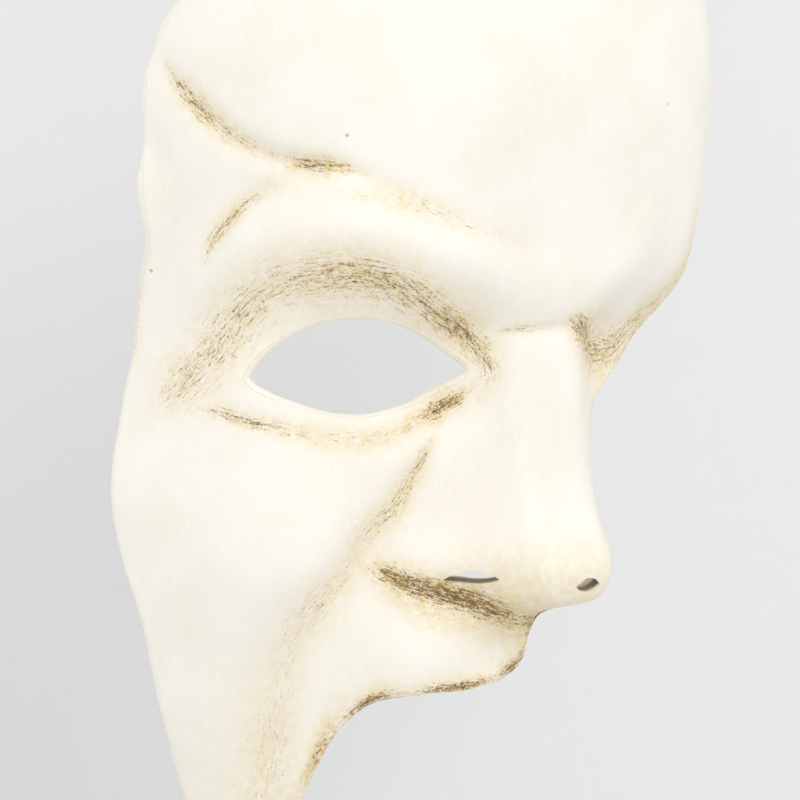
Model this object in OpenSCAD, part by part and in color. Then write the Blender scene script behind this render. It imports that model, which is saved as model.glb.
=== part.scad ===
// Venetian masquerade mask: a papier-mache half face that covers the whole forehead, the wearer's
// right eye and cheek, the nose and the upper lip, and runs down to a point along the right jaw.
// Frame: +Z up as worn, the face looks to -Y, +X is the wearer's left. The origin is on the
// midline, level with the eye opening, in the plane of the temple rim.

/* [Mask] */
// Overall width from cheek to far temple, mm
mask_w = 132; // [120:1:144]
// Overall height from the crown to the jaw point, mm
mask_h = 202; // [188:1:216]
// Depth from the temple rim to the bridge of the nose, mm
mask_d = 41; // [36:0.5:46]
// Thickness of the papier-mache, mm
shell_t = 2.0; // [1.6:0.1:2.4]
// Thickness of the lining paper, mm
lining_t = 0.6; // [0.4:0.1:0.9]
// Width of the rolled paper edging past the cut edge, mm
edge_w = 1.2; // [0.8:0.1:1.4]

/* [Eye opening] */
// Scale of the opening's length along the face
eye_long = 0.96; // [0.9:0.01:1.04]
// Scale of the opening's height
eye_tall = 0.94; // [0.82:0.01:1.12]
// Depth of the socket round the opening, mm
socket_d = 8.5; // [6:0.5:10]

/* [Nose] */
// How far the tip stands out past the bridge, mm
tip_out = 10.6; // [8:0.2:13]
// Width of the flat on the bridge, mm
bridge_w = 14.8; // [12:0.2:17]
// How far the underside of the nose rolls back, mm
tip_roll = 3.2; // [2:0.1:4]
// Swell of each nose wing, mm
wing_out = 2.2; // [1:0.1:3]
// Length of each nostril, mm
nostril_l = 11; // [9:0.5:12]
// Width of each nostril, mm
nostril_w = 2.6; // [2.2:0.1:3.2]

/* [Relief] */
// Height of the brow ridge, mm
brow_up = 3.5; // [2.5:0.1:5]
// Depth of the crease over the brow, mm
crease_d = 1.5; // [0.8:0.1:2]
// Height of the cheek, mm
cheek_up = 5.0; // [3.5:0.1:6.5]
// Depth of the fold from the nose to the jaw, mm
fold_d = 3.2; // [2:0.1:4]
// Height of the upper lip, mm
lip_up = 3.2; // [2:0.1:4]

/* [Ribbon tabs] */
// Height of each cloth tab, mm
tab_h = 16; // [14:0.5:18]
// Thickness of each cloth tab, mm
tab_t = 0.8; // [0.6:0.1:1.2]
// Length of each tab's free end, mm
tab_free = 17; // [15:0.5:19]
// Angle at which each free end stands off the lining, degrees
tab_lift = 26; // [20:1:34]
// Thickness of the bed of paste under each tab, mm
tab_paste = 0.5; // [0.4:0.05:0.8]
// Bore of each ribbon eyelet, mm
eyelet_bore = 4.0; // [3.4:0.1:4.6]
// Wall of the eyelet barrel, mm
eyelet_wall = 0.5; // [0.4:0.1:0.7]
// Diameter of the eyelet flange and of the washer, mm
flange_d = 8.4; // [7.6:0.1:9.4]
// Thickness of the flange and of the washer, mm
flange_t = 0.6; // [0.4:0.1:0.9]

/* [Hidden] */
$fn = 96;

axis_y = 25;               // head axis, behind the rim plane
wrap_r = 70;               // radius on which lengths round the face are measured
glue = 0.03;               // clearance between glued pieces
fit = 0.1;                 // radial clearance of an eyelet in its tab
kx = mask_w / 132;
ky = (axis_y + mask_d) / (axis_y + 41);
kz = mask_h / 202;
rings = 20;
eye_c = [-41, 1.5];        // centre from which the rays of the mesh start

// Bare head form: height, half width, front depth from the head axis
form = [[120, 50, 40], [92, 65.6, 61], [75, 71.2, 68.8], [55, 72.4, 72.2], [30, 70.2, 69.8],
        [8, 69, 65], [-15, 70, 61], [-36, 70, 59.6], [-50, 69, 59], [-65, 66, 58], [-85, 60, 54],
        [-125, 49, 43]];
// Nose: height, front, half width of the flat, spread of the sides
nose = [[120, 10, 8, 1.6], [40, 37, 8, 1.6], [20, 39, 8, 1.3], [9, 40.2, 7.4, 1],
        [-5, 41.2, 7.2, 0.95], [-18, 42.8, 7.4, 0.85], [-28, 45.6, 7.8, 0.78],
        [-38, 50.8, 7.6, 0.7], [-46, 51, 7.2, 0.7], [-125, 51, 7.2, 0.7]];
// Lines round the face: length from the midline, height, half width, relative relief
brow_line = [[-92, 6, 7, 0], [-80, 16.5, 7, 0.2], [-66, 25, 7.5, 0.8], [-50, 28.5, 8, 1],
             [-34, 27, 8, 1], [-18, 20.5, 7.5, 0.8], [-7, 16.5, 7.5, 0.6], [0, 16, 7.5, 0.6]];
crease_line = [[-88, 66, 2, 0], [-80, 59.5, 2.4, 0.3], [-72, 51, 2.6, 0.9], [-64, 45.3, 2.4, 0.95],
               [-54, 41.8, 2.2, 1], [-44, 40.6, 2.2, 0.75], [-30, 33.2, 3.2, 0.5], [-14, 27, 3.6, 0.25],
               [2, 24.5, 3.6, 0]];
wrinkle_line = [[-76, 20, 2, 0], [-71, 26.5, 2.2, 0.6], [-65, 33.4, 2.4, 0.7], [-58, 37.8, 2.2, 0.5],
                [-50, 41, 2, 0]];
lid_line = [[-74, -5, 2.2, 0], [-64, -8.4, 2.5, 0.35], [-52, -10.8, 2.6, 0.4], [-42, -12, 2.6, 0.4],
            [-30, -9.4, 2.5, 0.45], [-21, -5.2, 2.2, 0.45], [-15, -1.5, 2, 0]];
// Fold from the nose to the jaw: height, length from the midline, half width, relative relief
fold_line = [[-8, -21, 3, 0], [-16, -27, 3.4, 0.45], [-27, -36, 4.2, 0.8], [-38, -44.5, 5, 1],
             [-47, -52.5, 6.5, 1], [-58, -59, 8, 1], [-72, -63.5, 8, 0.95], [-92, -69, 7.5, 0.7],
             [-112, -74, 6, 0.2]];
// Cut edge of the eye and of the mask, as lengths round the face and heights
eye_edge = [[-67, 1.1], [-62.5, 6.4], [-54.6, 10.7], [-46, 12.5], [-36.6, 11.9], [-28.2, 9.3],
            [-21.4, 5.8], [-16.6, 2.8], [-15.8, 0.6], [-18, -1.4], [-22, -3.4], [-29.6, -6.2],
            [-38.8, -8], [-47.2, -7.9], [-55.6, -6], [-63, -3.4], [-66.4, -1.2]];
outline = [[0, 92], [27, 89], [51.4, 80.8], [67.6, 66], [73, 50], [66, 37.4], [56.6, 25.6],
           [50.4, 12.4], [41, 0.8], [21.6, -7.2], [15.6, -13.6], [16, -24], [18.2, -34], [18.6, -40],
           [13.4, -44.2], [4, -46.6], [-0.4, -50.6], [-2.2, -55.4], [-7.6, -58.6], [-18, -60.2],
           [-30, -60.8], [-41, -63.2], [-50, -70.6], [-58, -82.2], [-66, -96.6], [-74, -108],
           [-81, -102.8], [-84.2, -86], [-86, -68], [-87.8, -50], [-91, -36], [-93, -20], [-92, -5],
           [-90.6, 5], [-89, 16], [-85.4, 28], [-85, 45], [-83, 61.6], [-74.8, 75.2], [-55.8, 87.4],
           [-27.8, 91.2]];
// Rays of the mesh: first direction, last direction, how many
ray_sets = [[-62, 14, 42], [14, 70, 12], [70, 180, 24], [180, 236, 11], [236, 298, 19]];
rays = [for (g = ray_sets) for (k = [0:g[2] - 1]) g[0] + (g[1] - g[0]) * k / g[2]];
n_rays = len(rays);

// ---- Reading the tables -------------------------------------------------------------------

// Slope of column k at row i
function tangent(t, i, k) =
  let (p = max(i - 1, 0), q = min(i + 1, len(t) - 1))
  (t[q][k] - t[p][k]) / (t[q][0] - t[p][0]);

// Row whose interval holds x, for rows that rise (up = 1) or fall (up = -1)
function row_of(t, x, up) =
  max([0, for (i = [0:len(t) - 2]) if ((x - t[i][0]) * up >= 0) i]);

// Column k at x, smooth from row to row and held flat past the ends
function at(t, x, k) =
  let (up = sign(t[1][0] - t[0][0]), i = row_of(t, x, up), h = t[i + 1][0] - t[i][0],
       u = min(max((x - t[i][0]) / h, 0), 1))
  (2*u^3 - 3*u^2 + 1) * t[i][k] + (u^3 - 2*u^2 + u) * h * tangent(t, i, k)
  + (3*u^2 - 2*u^3) * t[i + 1][k] + (u^3 - u^2) * h * tangent(t, i + 1, k);

// Relief of a line at distance x along it and y across it, 1 on its crest
function line(t, x, y) =
  let (inside = (x - t[0][0]) * (x - t[len(t) - 1][0]) <= 0)
  inside ?
    let (w = at(t, x, 2) * sqrt(1 + (at(t, x + 0.5, 1) - at(t, x - 0.5, 1))^2))
    at(t, x, 3) * exp(-((y - at(t, x, 1)) / w)^2)
  : (x - t[0][0]) * (t[1][0] - t[0][0]) < 0 ? 0 : t[len(t) - 1][3] * exp(-((y - t[len(t) - 1][1])
    / t[len(t) - 1][2])^2);

// Round or square hump of height 1 at (s0, z0)
function hump(s, z, s0, z0, ws, wz, p = 1) = exp(-(((s - s0) / ws)^2 + ((z - z0) / wz)^2)^p);

// Larger and smaller of two radii with a fillet of size k
function blend_max(a, b, k) =
  let (h = min(max(0.5 + 0.5 * (a - b) / k, 0), 1)) b + (a - b) * h + k * h * (1 - h);
function blend_min(a, b, k) = -blend_max(-a, -b, k);
function step_up(x, a, b) = let (u = min(max((x - a) / (b - a), 0), 1)) u * u * (3 - 2 * u);
function ramp(x) = 1 / (1 + exp(-2 * x));

// ---- The face -----------------------------------------------------------------------------

// Radius of the nose from the head axis
function nose_r(phi, z) =
  let (out = axis_y + at(nose, z, 1) + (tip_out - 10.6) * step_up(-z, -5, 38),
       w = at(nose, z, 2) * bridge_w / 14.8, spread = at(nose, z, 3),
       front = out / cos(phi),
       side = (w + out * spread) / (abs(sin(phi)) + cos(phi) * spread),
       roll = tip_roll * step_up(-z, 32, 46) * (1 - step_up(phi * PI / 180 * wrap_r, 7, 14)))
  blend_min(front, side, 3) - roll;

// Radius of the face from the head axis at length s round it and height z
function face_r(s, z) =
  let (phi = s / wrap_r * 180 / PI, sa = abs(s),
       bare = 1 / sqrt((sin(phi) / at(form, z, 1))^2 + (cos(phi) / at(form, z, 2))^2),
       brow = brow_up * line(brow_line, -sa, z) * (1 - step_up(s, 8, 35)),
       socket = socket_d * hump(-sa, z, -36, 2.5, 22, 12.3, 1.3) + 3.5 * hump(-sa, z, -20, 1, 8, 10),
       cheek = cheek_up * hump(s, z, -58, -33, 18, 17) + 2.5 * hump(s, z, -91, -24, 14, 16),
       lip = lip_up * hump(s, z, -28, -55, 15, 9) + 1.2 * hump(s, z, -14, -62, 20, 4),
       temple = 1.5 * hump(-sa, z, -90, 26, 12, 22),
       fold = fold_d * line(fold_line, z, s),
       skin = bare + brow - socket + cheek + lip - temple - fold,
       under = min(-45.5 + 0.01 * sa * sa, -41.5),
       nosed = blend_max(skin, nose_r(phi, z), 3) + 1.2 * hump(sa, z, 0, -38, 12, 6)
               + wing_out * hump(sa, z, 24, -37, 6.5, 6),
       lines = crease_d * (line(crease_line, s, z) + line(wrinkle_line, s, z) + line(lid_line, s, z))
               + hump(sa, z, 0, 9, 11, 2.2))
  skin + (nosed - skin) * ramp((z - under) / (1.3 + 1.5 * step_up(sa, 4, 20))) - lines;

function face(s, z) =
  let (phi = s / wrap_r * 180 / PI, r = face_r(s, z))
  [kx * r * sin(phi), ky * (axis_y - r * cos(phi)), kz * z];

// ---- The mesh: rays from the eye's cut edge to the mask's cut edge ------------------------

// Closed smooth curve through points p
function smooth_loop(p, m = 6) =
  let (n = len(p))
  [for (i = [0:n - 1]) for (k = [0:m - 1])
    let (u = k / m, a = p[(i + n - 1) % n], b = p[i], c = p[(i + 1) % n], d = p[(i + 2) % n])
    0.5 * (2*b + (c - a)*u + (2*a - 5*b + 4*c - d)*u^2 + (3*b - a - 3*c + d)*u^3)];

// Distance from the rays' centre to loop p in direction t
function reach(p, t) =
  let (d = [cos(t), sin(t)], n = len(p),
       hits = [for (i = [0:n - 1])
         let (a = p[i] - eye_c, b = p[(i + 1) % n] - eye_c,
              ca = d[0] * a[1] - d[1] * a[0], cb = d[0] * b[1] - d[1] * b[0])
         if (ca * cb <= 0 && ca != cb)
           let (f = ca / (ca - cb), q = a + (b - a) * f) if (q * d > 0) q * d])
  max(hits);

eye_loop = smooth_loop([for (p = eye_edge)
  [eye_c[0] + (p[0] - eye_c[0]) * eye_long, eye_c[1] + (p[1] - eye_c[1]) * eye_tall]]);
rim_loop = smooth_loop(outline);
spans = [for (t = rays) [reach(eye_loop, t), reach(rim_loop, t)]];

// Rings stand closer together at both edges
function ring_at(i) = let (u = i / rings) u - 0.09 * sin(360 * u) / PI + 0.06 * u * (1 - u);
spots = [for (j = [0:n_rays - 1]) [for (i = [0:rings])
  let (r = spans[j][0] + (spans[j][1] - spans[j][0]) * ring_at(i))
  eye_c + r * [cos(rays[j]), sin(rays[j])]]];
outer = [for (ray = spots) [for (q = ray) face(q[0], q[1])]];

function unit(v) = v / norm(v);
function ray_of(j) = (j + n_rays) % n_rays;
normals = [for (j = [0:n_rays - 1]) [for (i = [0:rings])
  let (along = outer[j][min(i + 1, rings)] - outer[j][max(i - 1, 0)],
       round_it = outer[ray_of(j + 1)][i] - outer[ray_of(j - 1)][i])
  unit(cross(along, round_it))]];
facing = sign(normals[0][rings / 2] * [0, -1, 0]);

// Surface of the mesh at depth d under the painted face
function layer(d) = [for (j = [0:n_rays - 1]) [for (i = [0:rings])
  outer[j][i] - d * facing * normals[j][i]]];

// Two triangles for each cell of a sheet with n rows of m points
function cells(n, m, first, flip, wrap) = [for (j = [0:n - (wrap ? 1 : 2)]) for (i = [0:m - 2])
  let (a = first + j * m + i, b = first + ((j + 1) % n) * m + i,
       tris = flip ? [[a, b, b + 1], [a, b + 1, a + 1]] : [[a, b + 1, b], [a, a + 1, b + 1]])
  each tris];

// Closed skin between depths d0 and d1
module sheet(d0, d1) {
  m = rings + 1;
  n = n_rays * m;
  top = [for (ray = layer(d0)) each ray];
  bottom = [for (ray = layer(d1)) each ray];
  edges = [for (j = [0:n_rays - 1]) let (a = j * m, b = ray_of(j + 1) * m, e = m - 1)
    each [[a, a + n, b], [b, a + n, b + n], [a + e, b + e, a + e + n], [b + e, b + e + n, a + e + n]]];
  polyhedron(concat(top, bottom),
    concat(cells(n_rays, m, 0, true, true), cells(n_rays, m, n, false, true), edges));
}

// ---- Nostrils -----------------------------------------------------------------------------

// Middle of each nostril (length round the face, height) and its share of the full length
nostril_at = [[-18, -38.8, 1], [1.8, -40.2, 0.5]];

// Pointed slot through the underside of the nose, square to the surface there
module nostril(c) {
  p = face(c[0], c[1]);
  u = unit(face(c[0] + 2, c[1]) - face(c[0] - 2, c[1]));
  w = unit(cross(u, face(c[0], c[1] + 1.5) - face(c[0], c[1] - 1.5)));
  v = cross(w, u);
  r = ((nostril_l * c[2])^2 + nostril_w^2) / (4 * nostril_w);
  multmatrix([[u[0], v[0], w[0], p[0]], [u[1], v[1], w[1], p[1]], [u[2], v[2], w[2], p[2]]])
    intersection() {
      translate([0, r - nostril_w / 2, -6]) cylinder(r = r, h = 12);
      translate([0, nostril_w / 2 - r, -6]) cylinder(r = r, h = 12);
    }
}

module shell() color("ivory") difference() {
  sheet(0, shell_t);
  for (c = nostril_at) nostril(c);
}

module lining() color("wheat") difference() {
  sheet(shell_t + glue, shell_t + glue + lining_t);
  for (c = nostril_at) nostril(c);
}

// ---- Edging -------------------------------------------------------------------------------

full_t = shell_t + glue + lining_t;

// Rolled strip against the cut edge on ring i, standing away on the side given by dir
module edging(i, dir) {
  turns = 8;
  top = [for (j = [0:n_rays - 1]) outer[j][i]];
  rows = [for (j = [0:n_rays - 1])
    let (nrm = facing * normals[j][i],
         way = unit(cross(top[ray_of(j + 1)] - top[ray_of(j - 1)], nrm)),
         side = outer[j][min(i + 1, rings)] - outer[j][max(i - 1, 0)],
         out = way * sign(way * side) * dir)
    [for (k = [0:turns]) let (t = 180 * k / turns)
      top[j] - nrm * full_t / 2 * (1 - cos(t)) + out * (glue + (edge_w - glue) * sin(t))]];
  m = turns + 1;
  back = [for (j = [0:n_rays - 1]) let (a = j * m, b = ray_of(j + 1) * m)
    each (dir > 0 ? [[a, a + turns, b], [b, a + turns, b + turns]]
                  : [[a, b, a + turns], [b, b + turns, a + turns]])];
  polyhedron([for (r = rows) each r], concat(cells(n_rays, m, 0, dir > 0, true), back));
}

module rim_edging() color("linen") edging(rings, 1);

module eye_edging() color("linen") edging(0, -1);

// ---- Ribbon tabs and eyelets --------------------------------------------------------------

// Side of the head, length round the face at the bend, height of the middle
tab_at = [[-1, -69, 34], [1, 52, 47]];
tab_glued = 13;
tab_steps = 5;
tab_rows = 6;

// Unit normal of the face that points at the wearer
function inward(s, z) =
  let (n = unit(cross(face(s + 0.5, z) - face(s - 0.5, z), face(s, z + 0.5) - face(s, z - 0.5))))
  n * sign(n[1]);

// Point under the lining
function inner(s, z) = face(s, z) + inward(s, z) * (full_t + tab_paste);

// At the bend of tab g: level directions toward the rim and toward the wearer
function to_rim(g) =
  let (d = face(g[1] + g[0] / 2, g[2]) - face(g[1] - g[0] / 2, g[2])) unit([d[0], d[1], 0]);
function to_wearer(g) = g[0] * [-to_rim(g)[1], to_rim(g)[0], 0];

// Direction of the free end, and square to it toward the wearer
function tab_way(g) = to_rim(g) * cos(tab_lift) + to_wearer(g) * sin(tab_lift);
function tab_square(g) = to_wearer(g) * cos(tab_lift) - to_rim(g) * sin(tab_lift);
function tab_foot(g) = inner(g[1], g[2]);
function hole_at(g) = tab_foot(g) + tab_way(g) * (tab_free - tab_h / 2 + 0.5);

// Moves a shape so that z = 0 is the tab's outer side and +z points at the wearer
module on_tab(g) {
  p = hole_at(g);
  w = tab_square(g);
  u = tab_way(g);
  v = cross(w, u);
  multmatrix([[u[0], v[0], w[0], p[0]], [u[1], v[1], w[1], p[1]], [u[2], v[2], w[2], p[2]]])
    children();
}

// Cloth tab: glued under the lining, then straight and free toward the rim
module tab(g) {
  glued = [for (k = [0:tab_steps]) [for (i = [0:tab_rows])
    let (s = g[1] - g[0] * (1.5 + tab_glued * (1 - k / tab_steps)),
         z = (g[2] + tab_h * (i / tab_rows - 0.5)) / kz)
    [inner(s, z), inward(s, z)]]];
  free = [for (k = [2, tab_free]) [for (i = [0:tab_rows])
    [tab_foot(g) + tab_way(g) * k + [0, 0, tab_h * (i / tab_rows - 0.5)], tab_square(g)]]];
  rows = concat(glued, free);
  m = tab_rows + 1;
  n = len(rows);
  e = n * m;
  near = [for (r = rows) for (q = r) q[0]];
  far = [for (r = rows) for (q = r) q[0] + q[1] * tab_t];
  low = [for (k = [0:n - 2]) let (a = k * m, b = a + m) each [[a, b + e, b], [a, a + e, b + e]]];
  high = [for (k = [0:n - 2]) let (a = k * m + m - 1, b = a + m)
    each [[a, b, b + e], [a, b + e, a + e]]];
  root = [for (i = [0:m - 2]) each [[i, i + 1, i + e], [i + 1, i + 1 + e, i + e]]];
  end = [for (i = [0:m - 2]) let (a = (n - 1) * m + i)
    each [[a, a + e, a + 1], [a + 1, a + e, a + 1 + e]]];
  skin = concat(cells(n, m, 0, true, false), cells(n, m, e, false, false), low, high, root, end);
  difference() {
    polyhedron(concat(near, far), [for (f = skin) g[0] > 0 ? [f[0], f[2], f[1]] : f]);
    on_tab(g) translate([0, 0, -1]) cylinder(d = eyelet_bore + 2 * (eyelet_wall + fit), h = tab_t + 2);
  }
}

// Barrel with a rounded flange on the outer side
module eyelet(g) on_tab(g) rotate_extrude() {
  r0 = eyelet_bore / 2;
  translate([r0, -glue]) square([eyelet_wall, tab_t + flange_t + 2 * glue]);
  translate([r0, -flange_t - glue]) square([flange_d / 2 - r0 - flange_t / 2, flange_t]);
  translate([flange_d / 2 - flange_t / 2, -flange_t / 2 - glue]) circle(d = flange_t);
}

// Ring round the barrel on the wearer's side
module washer(g) on_tab(g) translate([0, 0, tab_t + glue]) rotate_extrude() {
  r1 = eyelet_bore / 2 + eyelet_wall + fit;
  translate([r1, 0]) square([flange_d / 2 - r1 - flange_t / 2, flange_t]);
  translate([flange_d / 2 - flange_t / 2, flange_t / 2]) circle(d = flange_t);
}

module tab_right() color("darkolivegreen") tab(tab_at[0]);
module tab_left() color("darkolivegreen") tab(tab_at[1]);
module eyelet_right() color("goldenrod") eyelet(tab_at[0]);
module eyelet_left() color("goldenrod") eyelet(tab_at[1]);
module washer_right() color("gold") washer(tab_at[0]);
module washer_left() color("gold") washer(tab_at[1]);

shell();
lining();
rim_edging();
eye_edging();
tab_right();
tab_left();
eyelet_right();
eyelet_left();
washer_right();
washer_left();
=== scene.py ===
import math

import bpy
import numpy as np
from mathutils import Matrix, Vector, noise


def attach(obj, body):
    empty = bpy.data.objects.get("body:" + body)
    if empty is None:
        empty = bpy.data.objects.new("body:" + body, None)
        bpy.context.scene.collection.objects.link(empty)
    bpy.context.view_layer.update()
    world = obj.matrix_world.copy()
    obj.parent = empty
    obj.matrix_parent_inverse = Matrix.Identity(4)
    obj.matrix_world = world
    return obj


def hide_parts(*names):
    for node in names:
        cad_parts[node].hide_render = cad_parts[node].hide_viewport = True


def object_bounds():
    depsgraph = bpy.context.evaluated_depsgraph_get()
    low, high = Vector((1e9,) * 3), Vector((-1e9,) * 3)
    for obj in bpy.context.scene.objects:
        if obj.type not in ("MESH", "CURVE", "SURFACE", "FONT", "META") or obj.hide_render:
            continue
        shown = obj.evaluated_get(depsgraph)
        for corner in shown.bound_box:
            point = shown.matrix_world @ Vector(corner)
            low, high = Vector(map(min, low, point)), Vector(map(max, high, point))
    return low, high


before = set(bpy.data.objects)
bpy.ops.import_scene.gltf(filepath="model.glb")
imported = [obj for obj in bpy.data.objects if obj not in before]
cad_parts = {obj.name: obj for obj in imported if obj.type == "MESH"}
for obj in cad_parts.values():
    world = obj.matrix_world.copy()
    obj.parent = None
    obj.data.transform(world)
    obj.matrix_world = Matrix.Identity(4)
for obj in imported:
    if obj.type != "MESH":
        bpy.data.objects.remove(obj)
cad_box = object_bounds()

MM = 0.001

# ---- Sizes of the mask, mm ----------------------------------------------------------------

AXIS_Y = 25.0
WRAP_R = 70.0
SHELL_T = 2.0
LINING_T = 0.6
GLUE = 0.03
FULL_T = SHELL_T + GLUE + LINING_T
EDGE_W = 1.2
EYE_CENTRE = np.array([-41.0, 1.5])
NOSTRIL_L = 11.0
NOSTRIL_W = 2.6
NOSTRILS = ((-18.0, -38.8, 1.0), (1.8, -40.2, 0.5))
EYE_SCALE = (0.96, 0.94)
SOCKET_D = 8.5
TIP_ROLL = 3.2
WING_OUT = 2.2
BROW_UP = 3.5
CREASE_D = 1.5
CHEEK_UP = 5.0
FOLD_D = 3.2
LIP_UP = 3.2
RINGS = 120

# Bare head form: height, half width, front depth from the head axis
FORM = [(120, 50, 40), (92, 65.6, 61), (75, 71.2, 68.8), (55, 72.4, 72.2), (30, 70.2, 69.8),
        (8, 69, 65), (-15, 70, 61), (-36, 70, 59.6), (-50, 69, 59), (-65, 66, 58), (-85, 60, 54),
        (-125, 49, 43)]
# Nose: height, front, half width of the flat, spread of the sides
NOSE = [(120, 10, 8, 1.6), (40, 37, 8, 1.6), (20, 39, 8, 1.3), (9, 40.2, 7.4, 1),
        (-5, 41.2, 7.2, 0.95), (-18, 42.8, 7.4, 0.85), (-28, 45.6, 7.8, 0.78),
        (-38, 50.8, 7.6, 0.7), (-46, 51, 7.2, 0.7), (-125, 51, 7.2, 0.7)]
# Lines round the face: length from the midline, height, half width, relative relief
BROW = [(-92, 6, 7, 0), (-80, 16.5, 7, 0.2), (-66, 25, 7.5, 0.8), (-50, 28.5, 8, 1),
        (-34, 27, 8, 1), (-18, 20.5, 7.5, 0.8), (-7, 16.5, 7.5, 0.6), (0, 16, 7.5, 0.6)]
CREASE = [(-88, 66, 2, 0), (-80, 59.5, 2.4, 0.3), (-72, 51, 2.6, 0.9), (-64, 45.3, 2.4, 0.95),
          (-54, 41.8, 2.2, 1), (-44, 40.6, 2.2, 0.75), (-30, 33.2, 3.2, 0.5), (-14, 27, 3.6, 0.25),
          (2, 24.5, 3.6, 0)]
WRINKLE = [(-76, 20, 2, 0), (-71, 26.5, 2.2, 0.6), (-65, 33.4, 2.4, 0.7), (-58, 37.8, 2.2, 0.5),
           (-50, 41, 2, 0)]
LID = [(-74, -5, 2.2, 0), (-64, -8.4, 2.5, 0.35), (-52, -10.8, 2.6, 0.4), (-42, -12, 2.6, 0.4),
       (-30, -9.4, 2.5, 0.45), (-21, -5.2, 2.2, 0.45), (-15, -1.5, 2, 0)]
# Fold from the nose to the jaw: height, length from the midline, half width, relative relief
FOLD = [(-8, -21, 3, 0), (-16, -27, 3.4, 0.45), (-27, -36, 4.2, 0.8), (-38, -44.5, 5, 1),
        (-47, -52.5, 6.5, 1), (-58, -59, 8, 1), (-72, -63.5, 8, 0.95), (-92, -69, 7.5, 0.7),
        (-112, -74, 6, 0.2)]
# Cut edge of the eye and of the mask, as lengths round the face and heights
EYE_EDGE = [(-67, 1.1), (-62.5, 6.4), (-54.6, 10.7), (-46, 12.5), (-36.6, 11.9), (-28.2, 9.3),
            (-21.4, 5.8), (-16.6, 2.8), (-15.8, 0.6), (-18, -1.4), (-22, -3.4), (-29.6, -6.2),
            (-38.8, -8), (-47.2, -7.9), (-55.6, -6), (-63, -3.4), (-66.4, -1.2)]
OUTLINE = [(0, 92), (27, 89), (51.4, 80.8), (67.6, 66), (73, 50), (66, 37.4), (56.6, 25.6),
           (50.4, 12.4), (41, 0.8), (21.6, -7.2), (15.6, -13.6), (16, -24), (18.2, -34), (18.6, -40),
           (13.4, -44.2), (4, -46.6), (-0.4, -50.6), (-2.2, -55.4), (-7.6, -58.6), (-18, -60.2),
           (-30, -60.8), (-41, -63.2), (-50, -70.6), (-58, -82.2), (-66, -96.6), (-74, -108),
           (-81, -102.8), (-84.2, -86), (-86, -68), (-87.8, -50), (-91, -36), (-93, -20), (-92, -5),
           (-90.6, 5), (-89, 16), (-85.4, 28), (-85, 45), (-83, 61.6), (-74.8, 75.2), (-55.8, 87.4),
           (-27.8, 91.2)]
# Rays of the mesh: first direction, last direction, how many
RAY_SETS = [(-62, 14, 250), (14, 70, 90), (70, 180, 130), (180, 236, 70), (236, 298, 150)]

# ---- Patina rubbed into the relief, and painted shade on the nose tip: length, height, half width, streaks, wash ---

SOCKET_RUB = [(-86, -7, 3, 0.15, 0.15), (-80, -2, 4.5, 0.7, 0.55), (-72, 5.5, 5.2, 0.8, 0.55),
              (-66, 12.5, 5, 0.8, 0.6), (-58, 18.5, 5, 0.7, 0.6), (-50, 20, 5.2, 0.85, 0.75),
              (-43, 20.5, 4.8, 0.95, 0.85), (-36, 18.8, 4.4, 0.95, 0.85), (-30, 15.8, 3.8, 0.95, 0.85),
              (-24, 12, 3.4, 1, 0.9), (-19, 8.6, 3, 1.1, 0.95), (-15, 5, 2.6, 1, 0.8),
              (-13, 1, 2, 0.8, 0.55), (-14.5, -4, 1.8, 0.35, 0.3)]
CREASE_RUB = [(-80, 61, 0.8, 0.5, 0.3), (-77, 56.5, 1.6, 0.95, 0.8), (-73, 52, 2, 1, 0.85),
              (-68, 48, 1.8, 0.8, 0.75), (-62, 44.6, 1.5, 0.7, 0.6), (-58, 43, 1.3, 0.45, 0.4),
              (-54, 42, 1.5, 1, 0.85), (-48, 41.4, 1.6, 1.05, 0.9), (-42, 40.2, 0.9, 0.6, 0.4),
              (-38, 37.4, 1.4, 0.3, 0.3), (-32, 34.3, 2.2, 0.5, 0.5), (-25, 31.4, 1.9, 0.5, 0.4),
              (-18, 28.8, 1.6, 0.35, 0.2), (-8, 26, 1.6, 0.2, 0.1)]
WRINKLE_RUB = [(-73, 22.5, 0.8, 0.4, 0.2), (-70, 28, 1.5, 0.95, 0.8), (-66, 32.4, 1.4, 0.9, 0.7),
               (-62, 35.6, 1.2, 0.7, 0.5), (-57, 38.6, 1.6, 0.3, 0.25)]
BROW_DASH = [(-50, 36.6, 1, 0.1, 0.1), (-44, 36.2, 1.2, 0.35, 0.3), (-38, 35.4, 1.8, 0.3, 0.4),
             (-33, 33, 1.8, 0.3, 0.35)]
LID_RUB = [(-75, -5.6, 1.2, 0.4, 0.2), (-70, -6.8, 1.4, 0.95, 0.6), (-64, -8.4, 1.5, 0.95, 0.65),
           (-58, -9.6, 1.7, 0.7, 0.6), (-50, -11, 1.9, 0.55, 0.6), (-42, -12, 1.9, 0.55, 0.6),
           (-35, -10.8, 1.7, 0.55, 0.6), (-29, -8.4, 1.7, 0.75, 0.75), (-24, -6.6, 2.2, 1.15, 1),
           (-19.5, -4.4, 1.8, 1.15, 1), (-16.5, -2.2, 1, 0.5, 0.4)]
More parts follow.
